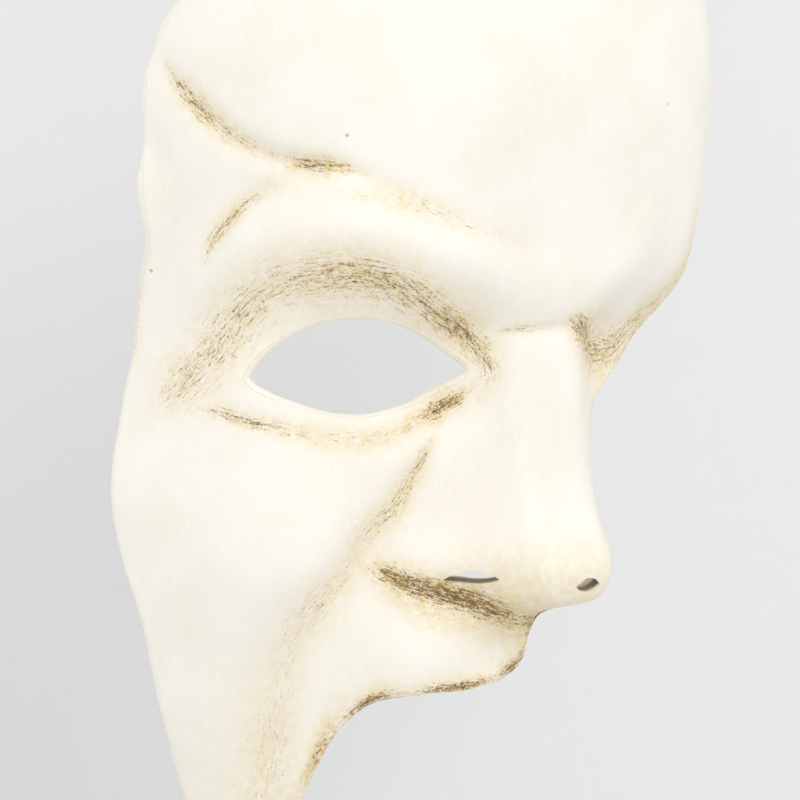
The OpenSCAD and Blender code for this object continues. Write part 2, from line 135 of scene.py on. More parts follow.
FOLD_RUB = [(-25, -11.5, 0.9, 0.5, 0.4), (-27.5, -15, 1.5, 0.8, 0.7), (-31, -20.5, 2, 0.85, 0.8),
            (-35, -25.5, 2.4, 0.85, 0.8), (-40, -29.5, 2.6, 0.6, 0.65), (-43.6, -34.5, 2.4, 0.5, 0.5),
            (-46, -39, 2.6, 0.55, 0.5), (-51.5, -44, 3.2, 0.6, 0.55), (-56, -50, 3.6, 0.5, 0.45),
            (-59, -57, 4, 0.45, 0.4), (-61.5, -64, 4.6, 0.45, 0.42), (-63, -72, 5.4, 0.5, 0.55),
            (-66, -82, 5.4, 0.5, 0.55), (-70, -93, 4.6, 0.45, 0.5), (-74, -105, 3.4, 0.4, 0.4)]
UNDER_NOSE_RUB = [(-41, -36, 1.6, 0.5, 0.5), (-36, -38, 2.6, 1.15, 1), (-30, -40.2, 3, 1.3, 1.05),
                  (-24, -41.8, 3, 1.35, 1.1), (-18, -43.4, 3, 1.35, 1.1), (-13, -45.2, 2.8, 1.3, 1.1),
                  (-8, -46.9, 2.4, 1.05, 1), (-3, -48.4, 2.2, 0.9, 0.9), (3, -48, 2, 0.8, 0.8)]
LIP_WASH = [(-34, -43, 2, 0.2, 0.4), (-26, -45.6, 3, 0.35, 0.6), (-18, -47.6, 3, 0.35, 0.6),
            (-10, -49.6, 2.6, 0.4, 0.6), (-3, -51.5, 2, 0.45, 0.6)]
# Painted shade: a wash with no streaks over the lower nose tip, where its surface turns to face down
TIP_PAINTED_SHADE = [(-16, -40, 5, 0, 0.5), (-7, -41, 6, 0, 0.6), (0, -41, 6.5, 0, 0.6), (6, -39.5, 6.5, 0, 0.5),
            (12, -37, 5, 0, 0.25)]
NASION_RUB = [(-11, 9.2, 0.8, 0.8, 0.4), (-7, 9.4, 0.9, 0.9, 0.5), (-2, 9.7, 0.8, 0.7, 0.4),
              (3, 10, 0.8, 0.4, 0.2)]
FAR_BROW_RUB = [(5, 10.8, 1.6, 0.8, 0.7), (9, 9, 3.2, 1.15, 1), (16, 6, 4.4, 1.05, 0.95),
                (26, 3, 5, 0.95, 0.85), (38, 4, 5, 0.9, 0.8), (48, 14, 4.4, 0.7, 0.6),
                (56, 26, 3.4, 0.5, 0.4)]
# Rim patina, and a thin dark line along the near temple's cut edge (first row): place on the cut edge,
# reach inward, streaks, wash
RIM_RUB = [((-88, 12), 14, 0.7, 0.6, 0.3), ((60, 45), 18, 1, 0.5, 0.6), ((46, 8), 18, 2, 0.8, 0.7),
           ((20, -8), 9, 1.4, 0.6, 0.5), ((17, -38), 7, 1, 0.8, 0.5), ((3, -47), 8, 2.4, 1.35, 1),
           ((-5, -57), 6, 1.9, 1.3, 0.9), ((-20, -60.5), 12, 1.5, 1.35, 0.95), ((-40, -63), 9, 1.9, 1.3, 1),
           ((-52, -73), 10, 3.8, 0.95, 1.1), ((-62, -90), 14, 3, 0.6, 0.7), ((-82, -90), 12, 1, 0.4, 0.3)]

# ---- Reading the tables -------------------------------------------------------------------


def at(rows, x, column):
    """Value of a column at x, smooth from row to row and held flat past the ends."""
    t = np.array(rows, float)
    if t[0, 0] > t[-1, 0]:
        t = t[::-1]
    xs, ys = t[:, 0], t[:, column]
    n = len(xs)
    before, after = np.maximum(np.arange(n) - 1, 0), np.minimum(np.arange(n) + 1, n - 1)
    slope = (ys[after] - ys[before]) / (xs[after] - xs[before])
    i = np.clip(np.searchsorted(xs, x, side="right") - 1, 0, n - 2)
    h = xs[i + 1] - xs[i]
    u = np.clip((x - xs[i]) / h, 0, 1)
    return ((2 * u**3 - 3 * u**2 + 1) * ys[i] + (u**3 - 2 * u**2 + u) * h * slope[i]
            + (3 * u**2 - 2 * u**3) * ys[i + 1] + (u**3 - u**2) * h * slope[i + 1])


def relief(rows, x, y):
    """Relief of a line at distance x along it and y across it, 1 on its crest."""
    width = at(rows, x, 2) * np.sqrt(1 + (at(rows, x + 0.5, 1) - at(rows, x - 0.5, 1)) ** 2)
    inside = (x - rows[0][0]) * (x - rows[-1][0]) <= 0
    past = (x - rows[0][0]) * (rows[1][0] - rows[0][0]) > 0
    along = at(rows, x, 3) * np.exp(-(((y - at(rows, x, 1)) / width) ** 2))
    end = rows[-1][3] * np.exp(-(((y - rows[-1][1]) / rows[-1][2]) ** 2))
    return np.where(inside, along, np.where(past, end, 0))


def hump(s, z, s0, z0, ws, wz, p=1.0):
    return np.exp(-((((s - s0) / ws) ** 2 + ((z - z0) / wz) ** 2) ** p))


def blend_max(a, b, k):
    h = np.clip(0.5 + 0.5 * (a - b) / k, 0, 1)
    return b + (a - b) * h + k * h * (1 - h)


def step_up(x, a, b):
    u = np.clip((x - a) / (b - a), 0, 1)
    return u * u * (3 - 2 * u)


# ---- The face -----------------------------------------------------------------------------


def nose_radius(phi, z):
    out = AXIS_Y + at(NOSE, z, 1)
    half, spread = at(NOSE, z, 2), at(NOSE, z, 3)
    front = out / np.cos(phi)
    side = (half + out * spread) / (np.abs(np.sin(phi)) + np.cos(phi) * spread)
    roll = TIP_ROLL * step_up(-z, 32, 46) * (1 - step_up(phi * WRAP_R, 7, 14))
    return -blend_max(-front, -side, 3) - roll


def face(s, z):
    """Point of the painted face, mm, at length s round it and height z."""
    phi, sa = s / WRAP_R, np.abs(s)
    bare = 1 / np.sqrt((np.sin(phi) / at(FORM, z, 1)) ** 2 + (np.cos(phi) / at(FORM, z, 2)) ** 2)
    brow = BROW_UP * relief(BROW, -sa, z) * (1 - step_up(s, 8, 35))
    socket = SOCKET_D * hump(-sa, z, -36, 2.5, 22, 12.3, 1.3) + 3.5 * hump(-sa, z, -20, 1, 8, 10)
    cheek = CHEEK_UP * hump(s, z, -58, -33, 18, 17) + 2.5 * hump(s, z, -91, -24, 14, 16)
    lip = LIP_UP * hump(s, z, -28, -55, 15, 9) + 1.2 * hump(s, z, -14, -62, 20, 4)
    temple = 1.5 * hump(-sa, z, -90, 26, 12, 22)
    skin = bare + brow - socket + cheek + lip - temple - FOLD_D * relief(FOLD, z, s)
    under = np.minimum(-45.5 + 0.01 * sa * sa, -41.5)
    nosed = (blend_max(skin, nose_radius(phi, z), 3) + 1.2 * hump(sa, z, 0, -38, 12, 6)
             + WING_OUT * hump(sa, z, 24, -37, 6.5, 6))
    ramp = 1 / (1 + np.exp(-2 * (z - under) / (1.3 + 1.5 * step_up(sa, 4, 20))))
    lines = (CREASE_D * (relief(CREASE, s, z) + relief(WRINKLE, s, z) + relief(LID, s, z))
             + hump(sa, z, 0, 9, 11, 2.2))
    r = skin + (nosed - skin) * ramp - lines
    return np.stack([r * np.sin(phi), AXIS_Y - r * np.cos(phi), z + 0 * r], axis=-1)


# ---- The mesh grid: rays from the eye's cut edge to the mask's cut edge --------------------


def smooth_loop(points, steps=24):
    """Closed smooth curve through points."""
    p = np.array(points, float)
    a, c, d = np.roll(p, 1, 0), np.roll(p, -1, 0), np.roll(p, -2, 0)
    u = (np.arange(steps) / steps)[None, :, None]
    a, b, c, d = (q[:, None, :] for q in (a, p, c, d))
    loop = 0.5 * (2 * b + (c - a) * u + (2 * a - 5 * b + 4 * c - d) * u**2
                  + (3 * b - a - 3 * c + d) * u**3)
    return loop.reshape(-1, 2)


def reach(loop, direction):
    """Farthest crossing of a loop by the ray from the eye's centre."""
    a = loop - EYE_CENTRE
    b = np.roll(a, -1, 0)
    ca = direction[0] * a[:, 1] - direction[1] * a[:, 0]
    cb = direction[0] * b[:, 1] - direction[1] * b[:, 0]
    hit = (ca * cb <= 0) & (ca != cb)
    f = ca[hit] / (ca[hit] - cb[hit])
    along = (a[hit] + (b[hit] - a[hit]) * f[:, None]) @ direction
    return along.max()


def wander(x, seed, size):
    """Smooth irregularity along a length x, about -1 to 1."""
    return np.array([noise.noise(Vector((v / size, seed, 0.5))) for v in np.ravel(x)]) * 2


def unit(v):
    return v / np.linalg.norm(v, axis=-1, keepdims=True)


def blur(grid, times, fixed_ends=True):
    """Evens out a closed grid of points over the cells next to each point."""
    g = grid.copy()
    for _ in range(times):
        round_it = (np.roll(g, 1, 0) + np.roll(g, -1, 0)) / 2
        along = g.copy()
        along[:, 1:-1] = (g[:, 2:] + g[:, :-2]) / 2
        mixed = 0.5 * g + 0.25 * round_it + 0.25 * along
        if fixed_ends:
            mixed[:, 0], mixed[:, -1] = g[:, 0], g[:, -1]
        g = mixed
    return g


def grid_normals(grid):
    """Outward unit normals of the grid of points."""
    round_it = np.roll(grid, -1, 0) - np.roll(grid, 1, 0)
    along = np.empty_like(grid)
    along[:, 1:-1] = grid[:, 2:] - grid[:, :-2]
    along[:, 0], along[:, -1] = grid[:, 1] - grid[:, 0], grid[:, -1] - grid[:, -2]
    n = unit(np.cross(along, round_it))
    return n * np.sign(-n[0, RINGS // 2, 1])


angles = np.radians([a + (b - a) * k / n for a, b, n in RAY_SETS for k in range(n)])
rays = np.stack([np.cos(angles), np.sin(angles)], axis=-1)
eye_cut = EYE_CENTRE + (np.array(EYE_EDGE) - EYE_CENTRE) * EYE_SCALE
eye_loop, rim_loop = smooth_loop(eye_cut), smooth_loop(OUTLINE)
start = np.array([reach(eye_loop, d) for d in rays])
stop = np.array([reach(rim_loop, d) for d in rays])
cut_edge = EYE_CENTRE + stop[:, None] * rays
edge_length = np.cumsum(np.linalg.norm(np.diff(cut_edge, axis=0, prepend=cut_edge[:1]), axis=1))
stop = stop + 0.16 * wander(edge_length, 3.7, 9) + 0.07 * wander(edge_length, 8.1, 3)
u = np.arange(RINGS + 1) / RINGS
share = u - 0.09 * np.sin(2 * np.pi * u) / np.pi + 0.06 * u * (1 - u)
flat = EYE_CENTRE + (start[:, None] + (stop - start)[:, None] * share)[..., None] * rays[:, None, :]
n_rays = len(rays)


def pointed_slot(a, b, share, wider):
    """Signed distance to a nostril's pointed outline, made wider by that much, and its nearest point."""
    length, width = NOSTRIL_L * share + 2 * wider, NOSTRIL_W + 2 * wider
    r = (length**2 + width**2) / (4 * width)
    back = r - width / 2
    away = np.hypot(a, np.abs(b) + back)
    near_a, near_b = a * r / away, (np.abs(b) + back) * r / away - back
    near_a = np.clip(near_a, -length / 2, length / 2)
    return away - r, near_a, np.maximum(near_b, 0) * np.sign(b)


def nostril_axes(centre):
    """Centre of a nostril with its long, short and through directions."""
    s, z = np.array(centre[0]), np.array(centre[1])
    long = unit(face(s + 2, z) - face(s - 2, z))
    through = unit(np.cross(long, face(s, z + 1.5) - face(s, z - 1.5)))
    return face(s, z), long, np.cross(through, long), through


def open_nostril(centre, points, kept):
    """Takes the cells inside a nostril out of the grid and lays its edge on the outline."""
    p, long, short, through = nostril_axes(centre)
    local = points - p
    a, b, w = local @ long, local @ short, local @ through
    wider = 0.2
    gap, _, _ = pointed_slot(a, b, centre[2], wider)
    inside = (gap < 0) & (np.abs(w) < 7)
    gone = inside[:, :-1] | inside[:, 1:]
    gone = gone | np.roll(gone, -1, 0)
    kept &= ~gone
    corner = np.zeros(inside.shape, bool)
    for dj in (0, 1):
        for di in (0, 1):
            corner[:, di:RINGS + di] |= np.roll(gone, dj, 0)
    edge = corner & ~inside
    j, i = np.nonzero(edge)
    at_flat = flat[j, i].copy()
    for _ in range(6):
        q = face(at_flat[:, 0], at_flat[:, 1]) - p
        a, b = q @ long, q @ short
        _, ta, tb = pointed_slot(a, b, centre[2], wider)
        step = 0.05
        ds = (face(at_flat[:, 0] + step, at_flat[:, 1]) - p - q) / step
        dz = (face(at_flat[:, 0], at_flat[:, 1] + step) - p - q) / step
        m = np.stack([np.stack([ds @ long, dz @ long], -1), np.stack([ds @ short, dz @ short], -1)], 1)
        m = m + 0.02 * np.eye(2)
        move = np.linalg.solve(m, np.stack([ta - a, tb - b], -1)[..., None])[..., 0]
        at_flat += np.clip(move, -0.35, 0.35) * 0.8
    flat[j, i] = at_flat
    return edge


kept = np.ones((n_rays, RINGS), bool)
nostril_edges = [open_nostril(c, face(flat[..., 0], flat[..., 1]), kept) for c in NOSTRILS]
outer = face(flat[..., 0], flat[..., 1])
normals = grid_normals(blur(outer, 4))
waves = np.array([noise.noise(Vector(p) / 16) * 0.16 + noise.noise(Vector(p) / 6.5) * 0.06
                  for p in outer.reshape(-1, 3)]).reshape(n_rays, RINGS + 1)
outer = outer + normals * (waves * step_up(np.minimum(u, 1 - u), 0, 0.06))[..., None]
inner = blur(outer - FULL_T * grid_normals(blur(outer, 20)), 30)
nostril_wall = np.zeros((n_rays, RINGS + 1))
for centre, edge in zip(NOSTRILS, nostril_edges):
    through = nostril_axes(centre)[3]
    nostril_wall[edge] = 1
    through = through * np.sign(through @ normals[edge].mean(0))
    straight = outer - FULL_T * through
    pull = edge.astype(float)
    for _ in range(6):
        near = np.maximum(np.roll(pull, 1, 0), np.roll(pull, -1, 0))
        near[:, 1:] = np.maximum(near[:, 1:], pull[:, :-1])
        near[:, :-1] = np.maximum(near[:, :-1], pull[:, 1:])
        pull = np.maximum(pull, near - 0.15)
    pull = np.clip(pull, 0, 1)[..., None]
    inner = inner * (1 - pull) + straight * pull


def layer(depth):
    """Grid of points at a depth under the painted face."""
    return outer + (inner - outer) * (depth / FULL_T)


# ---- Making pieces ------------------------------------------------------------------------


def add_piece(name, points, faces, nodes, material, attributes=(), sharp=30):
    """A piece of the mask from points in mm and lists of faces, standing for its CAD nodes."""
    mesh = bpy.data.meshes.new(name)
    mesh.from_pydata((np.asarray(points, float) * MM).tolist(), [], faces)
    mesh.validate()
    mesh.update()
    mesh.polygons.foreach_set("use_smooth", [True] * len(mesh.polygons))
    for label, kind, values in attributes:
        layer_of = mesh.attributes.new(label, kind, "POINT")
        key = "value" if kind == "FLOAT" else "vector"
        layer_of.data.foreach_set(key, np.asarray(values, np.float32).ravel())
    if sharp:
        mesh.set_sharp_from_angle(angle=math.radians(sharp))
    piece = bpy.data.objects.new(name, mesh)
    bpy.context.collection.objects.link(piece)
    piece.data.materials.append(material)
    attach(piece, "root")
    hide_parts(*nodes)


def sheet_faces(mask):
    """Faces of a closed sheet between a top and a bottom grid, for the cells that mask keeps."""
    m, total = RINGS + 1, n_rays * (RINGS + 1)
    j, i = np.nonzero(mask)
    a, b = j * m + i, (j + 1) % n_rays * m + i
    top = np.stack([a, a + 1, b + 1, b], -1)
    bottom = np.stack([a, b, b + 1, a + 1], -1) + total
    walls = []
    right, left = np.roll(mask, -1, 0), np.roll(mask, 1, 0)
    for other, p, q in ((right, b, b + 1), (left, a + 1, a)):
        bare = ~other[j, i]
        walls.append(np.stack([p[bare], p[bare] + total, q[bare] + total, q[bare]], -1))
    ahead = np.concatenate([mask[:, 1:], np.zeros((n_rays, 1), bool)], 1)
    behind = np.concatenate([np.zeros((n_rays, 1), bool), mask[:, :-1]], 1)
    for other, p, q in ((ahead, b + 1, a + 1), (behind, a, b)):
        bare = ~other[j, i]
        walls.append(np.stack([p[bare], p[bare] + total, q[bare] + total, q[bare]], -1))
    return np.concatenate([top, bottom, *walls])


def twice(values):
    """One value for each point of both sides of a sheet."""
    return np.concatenate([values, values])


def used_only(points, faces, attributes):
    """Drops the points that no face uses."""
    used = np.zeros(len(points), bool)
    used[faces.ravel()] = True
    index = np.cumsum(used) - 1
    return points[used], index[faces].tolist(), [(n, k, np.asarray(v)[used]) for n, k, v in attributes]


# ---- Where the patina and the painted shade on the nose tip lie ---------------------------


def rub(features, places):
    """Streaks, wash and stroke direction of patina lines, and of the painted shade on the nose tip, at
    places (length, height).
    """
    marks, wash = np.zeros(len(places)), np.zeros(len(places))
    stroke = np.zeros((len(places), 3))
    for number, rows in enumerate(features):
        t = np.array(rows, float)
        steps = np.linspace(0, len(t) - 1, 6 * len(t))
        i = np.minimum(steps.astype(int), len(t) - 2)
        p0, p1, p2, p3 = t[np.maximum(i - 1, 0)], t[i], t[i + 1], t[np.minimum(i + 2, len(t) - 1)]
        f = (steps - i)[:, None]
        line = 0.5 * (2 * p1 + (p2 - p0) * f + (2 * p0 - 5 * p1 + 4 * p2 - p3) * f**2
                      + (3 * p1 - p0 - 3 * p2 + p3) * f**3)
        seg = line[1:, :2] - line[:-1, :2]
        length = np.linalg.norm(seg, axis=1)
        so_far = np.concatenate([[0], np.cumsum(length)])
        best = np.full(len(places), 1e9)
        along, across, width, dark, pale = (np.zeros(len(places)) for _ in range(5))
        for k in range(len(seg)):
            rel = places - line[k, :2]
            f = np.clip(rel @ seg[k] / length[k] ** 2, 0, 1)
            d = np.linalg.norm(rel - f[:, None] * seg[k], axis=1)
            side = np.sign(seg[k, 0] * rel[:, 1] - seg[k, 1] * rel[:, 0])
            near = d < best
            best[near] = d[near]
            along[near] = (so_far[k] + f * length[k])[near]
            across[near] = (d * side)[near]
            value = line[k, 2:] + f[:, None] * (line[k + 1, 2:] - line[k, 2:])
            width[near], dark[near], pale[near] = value[near].T
        m = dark * np.exp(-((best / width) ** 2) * 0.8)
        w = pale * np.exp(-((best / (width * 1.25)) ** 2) * 0.8)
        win = m > marks
        stroke[win] = np.stack([along, across, np.full(len(places), 40.0 * number)], -1)[win]
        marks, wash = np.maximum(marks, m), np.maximum(wash, w)
    return marks, wash, stroke


def rim_rub(places, inset, length):
    """Patina near the mask's cut edge: places on the edge, distance inward, length along."""
    marks, wash = np.zeros(len(places)), np.zeros(len(places))
    for spot, spread, deep, dark, pale in RIM_RUB:
        near = np.exp(-((np.linalg.norm(places - np.array(spot, float), axis=1) / spread) ** 2))
        marks = np.maximum(marks, dark * near * np.exp(-((inset / deep) ** 2)))
        wash = np.maximum(wash, pale * near * np.exp(-((inset / (deep * 1.6)) ** 2)))
    return marks, wash, np.stack([length, inset, np.full(len(places), 400.0)], -1)


def patina_attributes(places, inset, length):
    marks_a, wash_a, stroke_a = rub([SOCKET_RUB, WRINKLE_RUB, UNDER_NOSE_RUB, FAR_BROW_RUB, BROW_DASH],
                                    places)
    # The second group also holds the painted shade on the nose tip
    marks_b, wash_b, stroke_b = rub([CREASE_RUB, LID_RUB, FOLD_RUB, NASION_RUB, LIP_WASH, TIP_PAINTED_SHADE],
                                    places)
    marks_c, wash_c, stroke_c = rim_rub(places, inset, length)
    wash = 1 - (1 - wash_a.clip(0, 1)) * (1 - wash_b.clip(0, 1)) * (1 - wash_c.clip(0, 1))
    return [("marks_a", "FLOAT", marks_a), ("marks_b", "FLOAT", marks_b), ("marks_c", "FLOAT", marks_c),
            ("wash", "FLOAT", wash), ("stroke_a", "FLOAT_VECTOR", stroke_a),
            ("stroke_b", "FLOAT_VECTOR", stroke_b), ("stroke_c", "FLOAT_VECTOR", stroke_c)]


# ---- Materials ----------------------------------------------------------------------------


class Nodes:
    """Short way to write a node material."""

    def __init__(self, name):
        self.material = bpy.data.materials.new(name)
        self.material.use_nodes = True
        self.tree = self.material.node_tree
        self.shader = self.tree.nodes["Principled BSDF"]

    def add(self, kind, inputs=None, **settings):
        node = self.tree.nodes.new(kind)
        for key, value in settings.items():
            setattr(node, key, value)
        for key, value in (inputs or {}).items():
            if isinstance(value, bpy.types.NodeSocket):
                self.tree.links.new(value, node.inputs[key])
            else:
                node.inputs[key].default_value = value
        return node

    def attribute(self, name, output):
        return self.add("ShaderNodeAttribute", attribute_name=name).outputs[output]

    def noise(self, vector, scale, detail=3.0, rough=0.55):
        node = self.add("ShaderNodeTexNoise", {"Vector": vector, "Scale": scale, "Detail": detail,
                                               "Roughness": rough})
        return node.outputs["Fac"]

    def math(self, operation, a, b=0.0, c=0.0, clamp=False):
        node = self.add("ShaderNodeMath", {0: a, 1: b, 2: c}, operation=operation, use_clamp=clamp)
        return node.outputs[0]

    def scaled(self, vector, scale):
        return self.add("ShaderNodeVectorMath", {0: vector, 1: scale}, operation="MULTIPLY").outputs[0]

    def ramp(self, value, low, high, to_low=0.0, to_high=1.0):
        node = self.add("ShaderNodeMapRange", {"Value": value, "From Min": low, "From Max": high,
                                               "To Min": to_low, "To Max": to_high},
                        interpolation_type="SMOOTHSTEP")
        return node.outputs["Result"]

    def mix(self, factor, a, b):
        node = self.add("ShaderNodeMix", data_type="RGBA")
        for index, value in ((0, factor), (6, a), (7, b)):
            if isinstance(value, bpy.types.NodeSocket):
                self.tree.links.new(value, node.inputs[index])
            else:
                node.inputs[index].default_value = value
        return node.outputs[2]

    def bump(self, height, strength, distance, under=None):
        inputs = {"Height": height, "Strength": strength, "Distance": distance}
        if under is not None:
            inputs["Normal"] = under
        return self.add("ShaderNodeBump", inputs).outputs["Normal"]

    def plug(self, **sockets):
        for key, value in sockets.items():
            socket = self.shader.inputs[key.replace("_", " ")]
            if isinstance(value, bpy.types.NodeSocket):
                self.tree.links.new(value, socket)
            else:
                socket.default_value = value


def rgb(red, green, blue):
    return (red, green, blue, 1.0)


def painted_paper():
    n = Nodes("painted_papier_mache")
    place = n.scaled(n.add("ShaderNodeTexCoord").outputs["Object"], (1000, 1000, 1000))
    mottle = n.noise(place, 0.045, 3, 0.5)
    drags = n.noise(n.scaled(place, (1.1, 1.1, 0.28)), 1.0, 4, 0.6)
    grain = n.noise(place, 2.3, 3, 0.65)
    base = n.mix(n.ramp(mottle, 0.32, 0.68), rgb(0.89, 0.845, 0.735), rgb(0.938, 0.9, 0.812))
    base = n.mix(n.ramp(drags, 0.35, 0.75, 0, 0.35), base, rgb(0.955, 0.93, 0.86))
    dark_marks, mid_marks = None, None
    for key, along, across in (("a", 0.3, 1.9), ("b", 0.3, 2.1), ("c", 0.6, 1.9)):
        stroke = n.attribute("stroke_" + key, "Vector")
        marks = n.attribute("marks_" + key, "Fac")
        broad = n.noise(n.scaled(stroke, (along, across, 1)), 1.0, 3, 0.65)
        fine = n.noise(n.scaled(stroke, (1.1, 6.0, 1)), 1.0, 3, 0.65)
        body = n.math("MULTIPLY_ADD", broad, 0.42, n.math("MULTIPLY", fine, 0.3))
        body = n.math("MULTIPLY_ADD", grain, 0.28, body)
        there = n.ramp(marks, 0.02, 0.3)
        mid = n.math("SUBTRACT", body, n.math("MULTIPLY_ADD", marks, -0.155, 0.592))
        mid = n.math("MULTIPLY", n.math("MULTIPLY", mid, 9.0, clamp=True), there)
        dark = n.math("SUBTRACT", body, n.math("MULTIPLY_ADD", marks, -0.18, 0.676))
        dark = n.math("MULTIPLY", n.math("MULTIPLY", dark, 15.0, clamp=True), there)
        mid_marks = mid if mid_marks is None else n.math("MAXIMUM", mid_marks, mid)
        dark_marks = dark if dark_marks is None else n.math("MAXIMUM", dark_marks, dark)
    # The ochre wash is patina, and on the lower nose tip it is painted shade
    wash = n.attribute("wash", "Fac")
    cloud = n.noise(place, 0.55, 4, 0.65)
    veil = n.math("MULTIPLY", wash, n.ramp(cloud, 0.3, 0.66, 0.3, 1.0))
    colour = n.mix(n.math("MULTIPLY", veil, 0.74, clamp=True), base, rgb(0.78, 0.585, 0.2))
    colour = n.mix(n.math("MULTIPLY", mid_marks, 0.58), colour, rgb(0.43, 0.27, 0.075))
    tone = n.mix(n.ramp(n.noise(place, 0.7, 2, 0.6), 0.35, 0.65),
                 rgb(0.1, 0.052, 0.01), rgb(0.3, 0.17, 0.04))
    colour = n.mix(n.math("MULTIPLY", dark_marks, 0.88), colour, tone)
    # Cut walls of the nostril slots: bare paper colour, made dark as painted shade inside the slots
    raw_and_shade = n.ramp(n.attribute("raw_and_shade", "Fac"), 0.12, 0.4)
    bare_paper_and_shade = n.mix(grain, rgb(0.1, 0.075, 0.05), rgb(0.3, 0.25, 0.19))
    colour = n.mix(n.math("MULTIPLY", raw_and_shade, 0.9), colour, bare_paper_and_shade)
    cells = n.add("ShaderNodeTexVoronoi", {"Vector": place, "Scale": 0.14, "Randomness": 1.0},
                  feature="F1")
    pick = n.add("ShaderNodeSeparateColor", {"Color": cells.outputs["Color"]})
    size = n.ramp(pick.outputs["Red"], 0.8, 1.0, 0.0, 0.055)
    speck = n.math("LESS_THAN", cells.outputs["Distance"], size)
    colour = n.mix(n.math("MULTIPLY", speck, 0.6), colour, rgb(0.3, 0.23, 0.13))
    weave = n.noise(place, 3.5, 2, 0.5)
    rough = n.math("MULTIPLY_ADD", drags, 0.16, 0.4)
    rough = n.math("MULTIPLY_ADD", veil, 0.16, rough)
    normal = n.bump(drags, 0.3, 0.00028)
    normal = n.bump(weave, 0.14, 0.00012, normal)
    normal = n.bump(dark_marks, 0.25, 0.00008, normal)
    n.plug(Base_Color=colour, Roughness=rough, Normal=normal, Specular_IOR_Level=0.35)
    return n.material


def lining_paper():
    n = Nodes("lining_paper")
    place = n.scaled(n.add("ShaderNodeTexCoord").outputs["Object"], (1000, 1000, 1000))
    tint = n.attribute("tint", "Fac")
    edge = n.attribute("torn", "Fac")
    fibre = n.noise(n.scaled(place, (1.0, 1.0, 0.4)), 2.6, 4, 0.7)
    cloud = n.noise(place, 0.09, 3, 0.55)
    colour = n.mix(tint, rgb(0.7, 0.62, 0.47), rgb(0.82, 0.76, 0.63))
    colour = n.mix(n.ramp(cloud, 0.35, 0.72, 0, 0.45), colour, rgb(0.6, 0.5, 0.34))
    colour = n.mix(n.ramp(fibre, 0.5, 0.72, 0, 0.35), colour, rgb(0.9, 0.86, 0.77))
    colour = n.mix(n.math("MULTIPLY", edge, 0.4), colour, rgb(0.88, 0.83, 0.72))
    flecks = n.ramp(n.noise(place, 1.1, 2, 0.5), 0.7, 0.78)
    colour = n.mix(n.math("MULTIPLY", flecks, 0.45), colour, rgb(0.35, 0.27, 0.16))
    normal = n.bump(fibre, 0.5, 0.00022)
    normal = n.bump(n.noise(place, 7.0, 2, 0.5), 0.3, 0.00008, normal)
    n.plug(Base_Color=colour, Roughness=n.ramp(fibre, 0.3, 0.7, 0.78, 0.92), Normal=normal,
           Specular_IOR_Level=0.2)
    return n.material


def tab_cloth():
    n = Nodes("tab_cloth")
    thread = n.attribute("thread", "Vector")
    warp = n.add("ShaderNodeTexWave", {"Vector": n.scaled(thread, (0, 1, 0)), "Scale": 0.55,
                                       "Distortion": 0.6, "Detail": 1.0}, bands_direction="Y")
    weft = n.add("ShaderNodeTexWave", {"Vector": n.scaled(thread, (1, 0.25, 0)), "Scale": 0.42,
                                       "Distortion": 0.8, "Detail": 1.0}, bands_direction="X")
    weave = n.math("MULTIPLY_ADD", warp.outputs["Fac"], 0.6, n.math("MULTIPLY", weft.outputs["Fac"], 0.4))
    fuzz = n.noise(thread, 2.4, 3, 0.65)
    colour = n.mix(weave, rgb(0.022, 0.026, 0.014), rgb(0.075, 0.082, 0.045))
    colour = n.mix(n.ramp(fuzz, 0.55, 0.8, 0, 0.4), colour, rgb(0.14, 0.14, 0.09))
    stitch = n.attribute("stitch", "Fac")
    colour = n.mix(stitch, colour, rgb(0.2, 0.19, 0.12))
    normal = n.bump(weave, 0.7, 0.0002)
    normal = n.bump(fuzz, 0.3, 0.0001, normal)
    n.plug(Base_Color=colour, Roughness=n.ramp(fuzz, 0.3, 0.7, 0.75, 0.95), Normal=normal,
           Specular_IOR_Level=0.2, Sheen_Weight=0.3, Sheen_Roughness=0.5)
    return n.material


def brass():
    n = Nodes("eyelet_brass")
    place = n.scaled(n.add("ShaderNodeTexCoord").outputs["Object"], (1000, 1000, 1000))
    tarnish = n.noise(place, 0.9, 4, 0.6)
    scratch = n.noise(n.scaled(place, (1, 1, 5)), 4.0, 2, 0.5)
    colour = n.mix(n.ramp(tarnish, 0.4, 0.7), rgb(0.78, 0.57, 0.25), rgb(0.42, 0.29, 0.12))
    rough = n.math("MULTIPLY_ADD", tarnish, 0.3, 0.16)
    n.plug(Base_Color=colour, Metallic=1.0, Roughness=rough, Normal=n.bump(scratch, 0.15, 0.00005))
    return n.material


paint, paper, cloth, metal = painted_paper(), lining_paper(), tab_cloth(), brass()

# ---- Shell and lining ---------------------------------------------------------------------

FAR_FROM_RIM = 99.0
ring_inset = np.linalg.norm(outer - outer[:, -1:], axis=-1)
edge_places = np.repeat(flat[:, -1:], RINGS + 1, axis=1)
along_rim = np.repeat(edge_length[:, None], RINGS + 1, axis=1)


